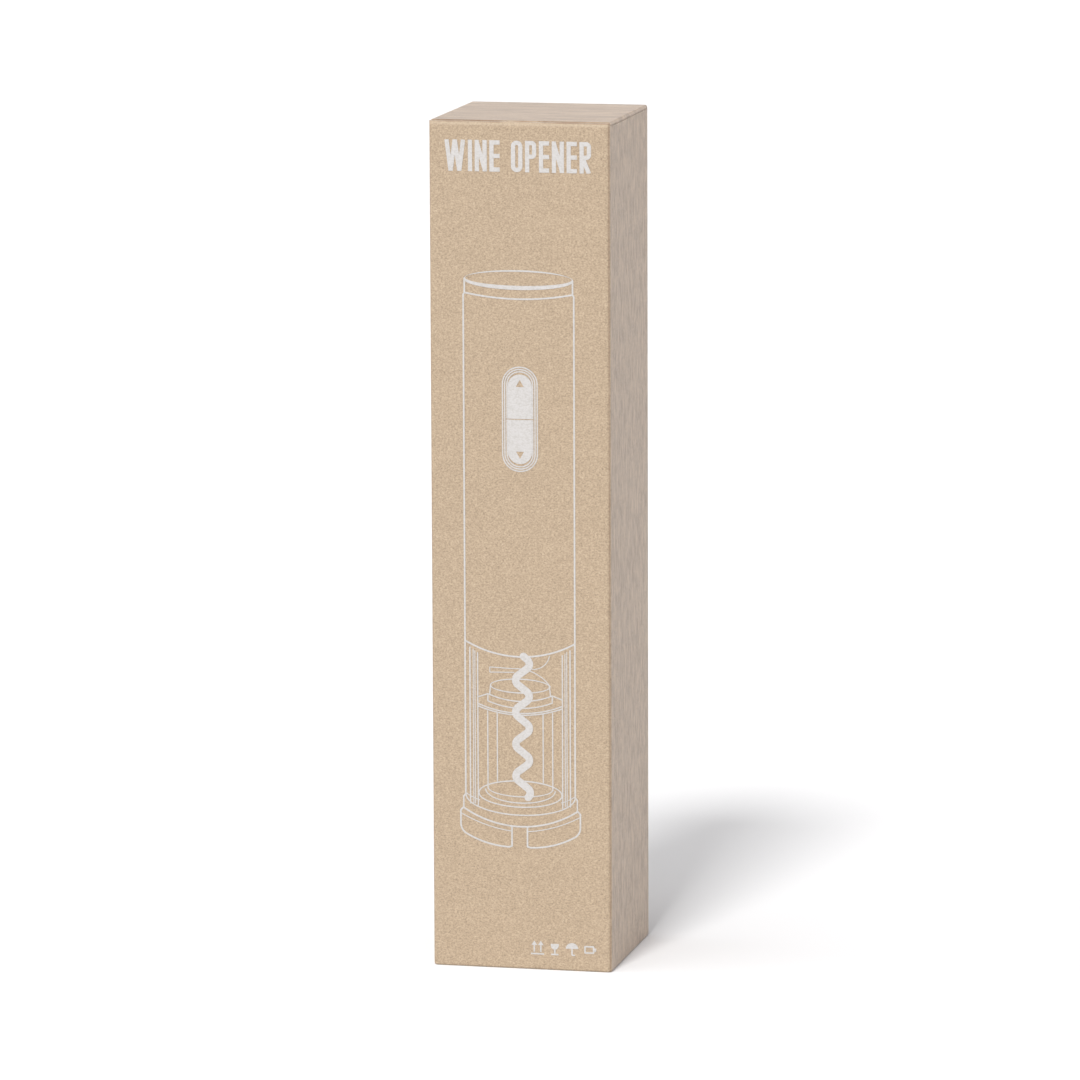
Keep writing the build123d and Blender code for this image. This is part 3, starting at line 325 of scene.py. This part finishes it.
def kraft_board():
    """Uncoated brown kraft liner: short fibres and specks, painted shade and a little bruising
    along the creases, and a painted highlight and shadow at the front's top edge.
    """
    kraft = Finish(
        "kraft_board",
        roughness=0.55,
        Sheen_Weight=0.48,
        Sheen_Roughness=0.32,
        Sheen_Tint=KRAFT_SHEEN,
    )
    fibre = kraft.noise(1.0, 3.0, 0.65, 0.5, kraft.stretch(1450, 1200, 2000))
    fine = kraft.noise(4600, 2.0, 0.6)
    cloud = kraft.noise(1.0, 4.0, 0.6, 0.3, kraft.stretch(700, 210, 700))
    streak = kraft.noise(1.0, 4.0, 0.65, 0.0, kraft.stretch(60, 520, 170))
    speck = kraft.noise(1.0, 1.0, 0.5, 1.2, kraft.stretch(1700, 1700, 1300))
    tone = kraft.blend(kraft.fit(fibre, 0.34, 0.64), KRAFT_DARK, KRAFT_LIGHT)
    tone = kraft.blend(0.20, tone, KRAFT_MIDDLE)
    tone = kraft.blend(kraft.fit(fine, 0.35, 0.7, 0.0, 0.35), tone, KRAFT_LIGHT)
    tone = kraft.blend(kraft.fit(cloud, 0.35, 0.65, 0.0, 0.22), tone, KRAFT_DARK)
    # the long fibres show as streaks on the top and sides, and hardly at all on the front
    across = kraft.maths("ABSOLUTE", kraft.axis("X"))
    deep = kraft.maths("ABSOLUTE", kraft.axis("Y"))
    beside = kraft.fit(deep, BEND_START, PANEL_FLAT, 0.06, 1.0)
    for streak_full, most, shade in ((0.64, 0.85, KRAFT_LIGHT), (0.36, 0.75, KRAFT_DARK)):
        band = kraft.maths("MULTIPLY", kraft.fit(streak, 0.50, streak_full, 0.0, most), beside)
        tone = kraft.blend(band, tone, shade)
    tone = kraft.blend(kraft.fit(speck, 0.67, 0.75, 0.0, 0.45), tone, KRAFT_SPECK)
    tone = kraft.blend(kraft.fit(speck, 0.31, 0.24, 0.0, 0.5), tone, KRAFT_PALE_FLECK_AND_HIGHLIGHT)
    # the upright creases are darker along their bend: painted shade of the crease, with some
    # bruising of the board
    corner = kraft.maths("MINIMUM", across, deep)
    crease_shade_and_bruise = kraft.fit(corner, BEND_START, BEND_FULL, 0.0, 0.50)
    rub_and_shade_noise = kraft.fit(kraft.noise(230, 3.0), 0.3, 0.6, 0.45, 1.0)
    tone = kraft.blend(kraft.maths("MULTIPLY", crease_shade_and_bruise, rub_and_shade_noise), tone, KRAFT_BRUISE_AND_SHADE)
    # the front panel's top: a painted highlight on a pale lip, where its rounded edge catches the
    # light, under painted shadow in the seam along its raw top edge
    front = kraft.fit(kraft.axis("Y"), -FRONT_START, -FRONT_FULL)
    height = kraft.axis("Z")
    lip_highlight = kraft.fit(height, LIP_LOW, LIP_FULL, 0.0, 0.35)
    tone = kraft.blend(kraft.maths("MULTIPLY", front, lip_highlight), tone, KRAFT_PALE_FLECK_AND_HIGHLIGHT)
    # painted shadow in the gap along the front's raw top edge, broken up by noise
    edge = kraft.fit(height, RAW_EDGE_LOW, RAW_EDGE_FULL)
    near = kraft.fit(kraft.axis("Y"), -RAW_EDGE_BACK, -RAW_EDGE_FRONT)
    gap_shade_noise = kraft.fit(kraft.noise(140, 3.0), 0.35, 0.62, 0.1, 0.7)
    gap_shade = kraft.maths("MULTIPLY", near, gap_shade_noise)
    tone = kraft.blend(kraft.maths("MULTIPLY", edge, gap_shade), tone, KRAFT_BRUISE_AND_SHADE)
    kraft.colour(tone)
    kraft.rough(kraft.fit(fibre, 0.3, 0.7, 0.50, 0.62))
    kraft.bump(fibre, 0.12 * MM, 0.65)
    kraft.bump(fine, 0.04 * MM, 0.6)
    kraft.bump(streak, 0.10 * MM, 0.5)
    kraft.bump(kraft.noise(55, 2.0), 0.10 * MM, 0.5)
    return kraft.material


def moulded_pulp():
    """Grey-brown moulded pulp with a coarse, felted face."""
    pulp = Finish("moulded_pulp", roughness=0.95)
    felt = pulp.noise(420, 5.0, 0.68, 0.8)
    tone = pulp.blend(pulp.fit(felt, 0.3, 0.7), (0.24, 0.185, 0.130), (0.44, 0.37, 0.285))
    fleck = pulp.fit(pulp.noise(1500, 1.0, 0.5, 1.0), 0.67, 0.72, 0.0, 0.7)
    pulp.colour(pulp.blend(fleck, tone, (0.15, 0.12, 0.10)))
    pulp.bump(felt, 0.5 * MM, 0.8)
    return pulp.material


def white_ink():
    """Matt white ink, thin enough for the board's fibres to show."""
    paint = Finish("white_ink", roughness=0.6)
    fibre = paint.noise(1.0, 3.0, 0.65, 0.5, paint.stretch(1350, 1350, 2100))
    tone = paint.blend(paint.fit(fibre, 0.30, 0.62), (0.375, 0.355, 0.335), (0.440, 0.425, 0.415))
    thin = paint.fit(paint.noise(2600, 2.0, 0.6), 0.64, 0.78, 0.0, 0.5)
    paint.colour(paint.blend(thin, tone, (0.36, 0.29, 0.22)))
    paint.bump(fibre, 0.04 * MM, 0.5)
    return paint.material


def steel_shell():
    """Stainless tube, brushed round its axis."""
    steel = Finish("brushed_stainless", roughness=0.3, metallic=1.0, Anisotropic=0.55)
    lines = steel.noise(1.0, 4.0, 0.7, 0.0, steel.stretch(16, 16, 5200))
    broad = steel.noise(1.0, 2.0, 0.5, 0.0, steel.stretch(9, 9, 700))
    tone = steel.blend(steel.fit(lines, 0.3, 0.7), (0.34, 0.34, 0.35), (0.47, 0.47, 0.48))
    steel.colour(steel.blend(steel.fit(broad, 0.3, 0.7, 0.0, 0.12), tone, (0.30, 0.30, 0.31)))
    steel.rough(steel.fit(lines, 0.3, 0.7, 0.22, 0.32))
    steel.bump(lines, 0.012 * MM, 0.6)
    return steel.material


def black_plastic():
    """Black moulding with a fine spark-eroded grain."""
    plastic = Finish("black_moulding", roughness=0.46)
    grain = plastic.noise(2600, 3.0, 0.6)
    handled = plastic.noise(60, 3.0, 0.55)
    tone = plastic.blend(plastic.fit(grain, 0.3, 0.7), (0.018, 0.018, 0.019), (0.040, 0.040, 0.042))
    plastic.colour(tone)
    plastic.rough(plastic.fit(handled, 0.3, 0.7, 0.40, 0.54))
    plastic.bump(grain, 0.03 * MM, 0.6)
    return plastic.material


def black_gloss():
    """Polished black trim with faint haze."""
    gloss = Finish("black_gloss", roughness=0.12, Coat_Weight=0.4, Coat_Roughness=0.05)
    haze = gloss.noise(240, 4.0, 0.6)
    gloss.colour(gloss.blend(haze, (0.010, 0.010, 0.011), (0.020, 0.020, 0.022)))
    gloss.rough(gloss.fit(haze, 0.35, 0.75, 0.10, 0.22))
    return gloss.material


def rocker_plastic():
    """Pale satin rocker, a little darker where thumbs have been."""
    rocker = Finish("rocker_satin", roughness=0.3)
    cloud = rocker.noise(150, 3.0, 0.55)
    rocker.colour(rocker.blend(cloud, (0.30, 0.30, 0.30), (0.35, 0.35, 0.35)))
    rocker.rough(rocker.fit(cloud, 0.3, 0.7, 0.24, 0.38))
    rocker.bump(rocker.noise(3200, 2.0), 0.01 * MM, 0.4)
    return rocker.material


def clear_plastic():
    """Clear moulded sleeve with faint flow and a few hairlines."""
    clear = Finish("clear_moulding", roughness=0.03, IOR=1.49, Transmission_Weight=1.0)
    flow = clear.noise(1.0, 2.0, 0.5, 0.3, clear.stretch(30, 30, 12))
    clear.colour(clear.blend(flow, (0.93, 0.96, 0.97), (0.98, 0.99, 0.99)))
    scratch = clear.noise(1.0, 2.0, 0.5, 0.2, clear.stretch(2400, 2400, 60))
    clear.rough(clear.fit(scratch, 0.62, 0.74, 0.02, 0.14))
    clear.bump(flow, 0.08 * MM, 0.25)
    return clear.material


def bright_steel(name, tone, low, high, stretch):
    """Polished or ground steel with fine marks along one direction."""
    steel = Finish(name, roughness=low, metallic=1.0)
    marks = steel.noise(1.0, 3.0, 0.6, 0.0, steel.stretch(*stretch))
    darker = tuple(channel * 0.8 for channel in tone)
    steel.colour(steel.blend(steel.fit(marks, 0.3, 0.7), darker, tone))
    steel.rough(steel.fit(marks, 0.3, 0.7, low, high))
    steel.bump(marks, 0.01 * MM, 0.4)
    return steel.material


def gear_plastic():
    """Natural acetal with a little grease."""
    gear = Finish("acetal", roughness=0.35, Subsurface_Weight=0.15, Subsurface_Radius=(1e-3,) * 3)
    grease = gear.noise(500, 3.0, 0.6)
    gear.colour(gear.blend(gear.fit(grease, 0.45, 0.7), (0.78, 0.76, 0.70), (0.66, 0.60, 0.48)))
    gear.rough(gear.fit(grease, 0.4, 0.7, 0.38, 0.15))
    return gear.material


LAMINATIONS_A_METRE = 2000.0
COMMUTATOR_LENGTH = 15.1 * MM
CELL_TOP_LENGTH = 1.5 * MM
CELL_BAND_LENGTH = 14.1 * MM
COLOUR_EDGE = 0.1 * MM


def armature_iron():
    """Stacked laminations under lacquer, and copper at the commutator end."""
    iron = Finish("armature", roughness=0.4, metallic=0.9)
    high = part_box("motor_armature")[1]
    height = iron.axis("Z")
    layer = iron.maths("FRACT", iron.maths("MULTIPLY", height, LAMINATIONS_A_METRE))
    stack = iron.blend(iron.fit(layer, 0.2, 0.5), (0.12, 0.10, 0.09), (0.34, 0.30, 0.27))
    copper_low = high.z - COMMUTATOR_LENGTH
    copper = iron.fit(height, copper_low - COLOUR_EDGE, copper_low + COLOUR_EDGE)
    iron.colour(iron.blend(copper, stack, (0.72, 0.36, 0.18)))
    iron.bump(layer, 0.03 * MM, 0.6)
    return iron.material


def circuit_board():
    """Green solder resist with tracks under it."""
    board = Finish("solder_resist", roughness=0.3)
    tracks = board.tree.nodes.new("ShaderNodeTexBrick")
    tracks.inputs["Scale"].default_value = 1.0
    tracks.inputs["Mortar Size"].default_value = 0.08
    tracks.inputs["Color1"].default_value = (0.010, 0.115, 0.045, 1)
    tracks.inputs["Color2"].default_value = (0.012, 0.130, 0.052, 1)
    tracks.inputs["Mortar"].default_value = (0.030, 0.210, 0.085, 1)
    board.link(board.stretch(420, 420, 420), tracks.inputs["Vector"])
    board.colour(tracks.outputs["Color"])
    board.rough(board.fit(board.noise(900, 2.0), 0.3, 0.7, 0.22, 0.36))
    return board.material


def cell_jacket():
    """Plain cells: a coloured jacket with a gold band, and bare metal at the top end."""
    cell = Finish("cell_jacket", roughness=0.28, Coat_Weight=0.3)
    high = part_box("battery_cells")[1]
    height = cell.axis("Z")
    top_low, band_low = high.z - CELL_TOP_LENGTH, high.z - CELL_BAND_LENGTH
    top = cell.fit(height, top_low - COLOUR_EDGE, top_low + COLOUR_EDGE)
    band = cell.fit(height, band_low - COLOUR_EDGE, band_low + COLOUR_EDGE)
    tone = cell.blend(cell.noise(300, 2.0), (0.025, 0.060, 0.150), (0.035, 0.080, 0.190))
    tone = cell.blend(band, tone, (0.55, 0.40, 0.16))
    cell.colour(cell.blend(top, tone, (0.60, 0.60, 0.60)))
    cell.link(top, cell.shader.inputs["Metallic"])
    return cell.material


def lead_insulation():
    """Glossy wire insulation, one lead red and one black."""
    lead = Finish("lead_insulation", roughness=0.35)
    side = lead.fit(lead.axis("X"), -COLOUR_EDGE, COLOUR_EDGE)
    tone = lead.blend(side, (0.015, 0.015, 0.016), (0.42, 0.020, 0.015))
    dust = lead.fit(lead.noise(700, 2.0), 0.4, 0.8, 0.0, 0.2)
    lead.colour(lead.blend(dust, tone, (0.2, 0.2, 0.2)))
    return lead.material


def seal_rubber():
    """Soft black rubber with a dusty bloom."""
    rubber = Finish("seal_rubber", roughness=0.75)
    bloom = rubber.noise(420, 4.0, 0.65)
    tone = rubber.fit(bloom, 0.45, 0.8)
    rubber.colour(rubber.blend(tone, (0.018, 0.018, 0.018), (0.06, 0.06, 0.06)))
    rubber.bump(bloom, 0.03 * MM, 0.4)
    return rubber.material


def bronze_bush():
    """Sintered bronze with dark pores."""
    bronze = Finish("sintered_bronze", roughness=0.42, metallic=1.0)
    pores = bronze.noise(1800, 3.0, 0.6)
    tone = bronze.fit(pores, 0.35, 0.6)
    bronze.colour(bronze.blend(tone, (0.22, 0.13, 0.06), (0.62, 0.40, 0.19)))
    bronze.bump(pores, 0.03 * MM, 0.5)
    return bronze.material


MATERIALS = {
    "kraft_board": kraft_board(),
    "moulded_pulp": moulded_pulp(),
    "white_ink": white_ink(),
    "steel_shell": steel_shell(),
    "black_plastic": black_plastic(),
    "black_gloss": black_gloss(),
    "rocker_plastic": rocker_plastic(),
    "clear_plastic": clear_plastic(),
    "worm_steel": bright_steel("polished_steel", (0.74, 0.74, 0.76), 0.10, 0.22, (300, 300, 1500)),
    "cutter_steel": bright_steel("ground_steel", (0.62, 0.63, 0.65), 0.16, 0.34, (900, 900, 4000)),
    "spring_steel": bright_steel("spring_wire", (0.42, 0.42, 0.43), 0.25, 0.40, (900, 900, 900)),
    "motor_steel": bright_steel("plated_steel", (0.55, 0.55, 0.56), 0.28, 0.42, (200, 200, 900)),
    "contact_nickel": bright_steel("nickel_plate", (0.66, 0.63, 0.56), 0.20, 0.32, (700, 700, 700)),
    "gear_plastic": gear_plastic(),
    "armature_iron": armature_iron(),
    "circuit_board": circuit_board(),
    "cell_jacket": cell_jacket(),
    "lead_insulation": lead_insulation(),
    "seal_rubber": seal_rubber(),
    "bush_bronze": bronze_bush(),
}


def dress_frame():
    """Gives every carried-over part the finish of its own slot."""
    for part in frame["record"]["subparts"]:
        mesh = nodes[part["node"]].data
        mesh.materials.clear()
        mesh.materials.append(MATERIALS[part["material_slot"]])


dress_frame()

# ------------------------------------------------------------------
# Return spring
# ------------------------------------------------------------------

SPRING_WIRE = 1.2 * MM
SPRING_WIRE_SIDES = 16
SPRING_STEPS_A_TURN = 56
SPRING_CLOSED_TURNS = 1.0
SPRING_ACTIVE_TURNS = 4.0
SPRING_END_BEVEL = 0.18 * MM
SPRING_BEVEL_STEPS = 2


def wind_spring():
    """The return spring: open coils between two closed end turns, its cut ends a little rounded."""
    low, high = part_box("return_spring")
    radius = (high.x - low.x - SPRING_WIRE) / 2
    closed_rise = SPRING_WIRE * SPRING_CLOSED_TURNS
    open_rise = high.z - low.z - SPRING_WIRE - 2 * closed_rise
    start = Matrix.Translation((radius, 0, low.z + SPRING_WIRE / 2))
    wire = bmesh.new()
    bmesh.ops.create_circle(
        wire,
        segments=SPRING_WIRE_SIDES,
        radius=SPRING_WIRE / 2,
        matrix=start @ Matrix.Rotation(math.pi / 2, 4, "X"),
    )
    end = wire.edges[:]
    windings = (
        (SPRING_CLOSED_TURNS, closed_rise),
        (SPRING_ACTIVE_TURNS, open_rise),
        (SPRING_CLOSED_TURNS, closed_rise),
    )
    for turns, rise in windings:
        steps = round(turns * SPRING_STEPS_A_TURN)
        wound = bmesh.ops.spin(
            wire,
            geom=end,
            axis=(0, 0, 1),
            dvec=(0, 0, rise / steps),
            angle=2 * math.pi * turns,
            steps=steps,
        )
        end = [item for item in wound["geom_last"] if isinstance(item, bmesh.types.BMEdge)]
    cuts = [edge for edge in wire.edges if edge.is_boundary]
    bmesh.ops.holes_fill(wire, edges=cuts, sides=SPRING_WIRE_SIDES)
    bmesh.ops.bevel(
        wire,
        geom=cuts,
        offset=SPRING_END_BEVEL,
        segments=SPRING_BEVEL_STEPS,
        profile=0.5,
        affect="EDGES",
        material=-1,
    )
    bmesh.ops.recalc_face_normals(wire, faces=wire.faces)
    for face in wire.faces:
        face.smooth = True
    mesh = bpy.data.meshes.new("wound_spring")
    wire.to_mesh(mesh)
    wire.free()
    mesh.materials.append(MATERIALS["spring_steel"])
    spring = bpy.data.objects.new("wound_spring", mesh)
    scene.collection.objects.link(spring)
    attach(spring, "housing")
    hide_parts("return_spring")
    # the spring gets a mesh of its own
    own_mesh(spring)


wind_spring()
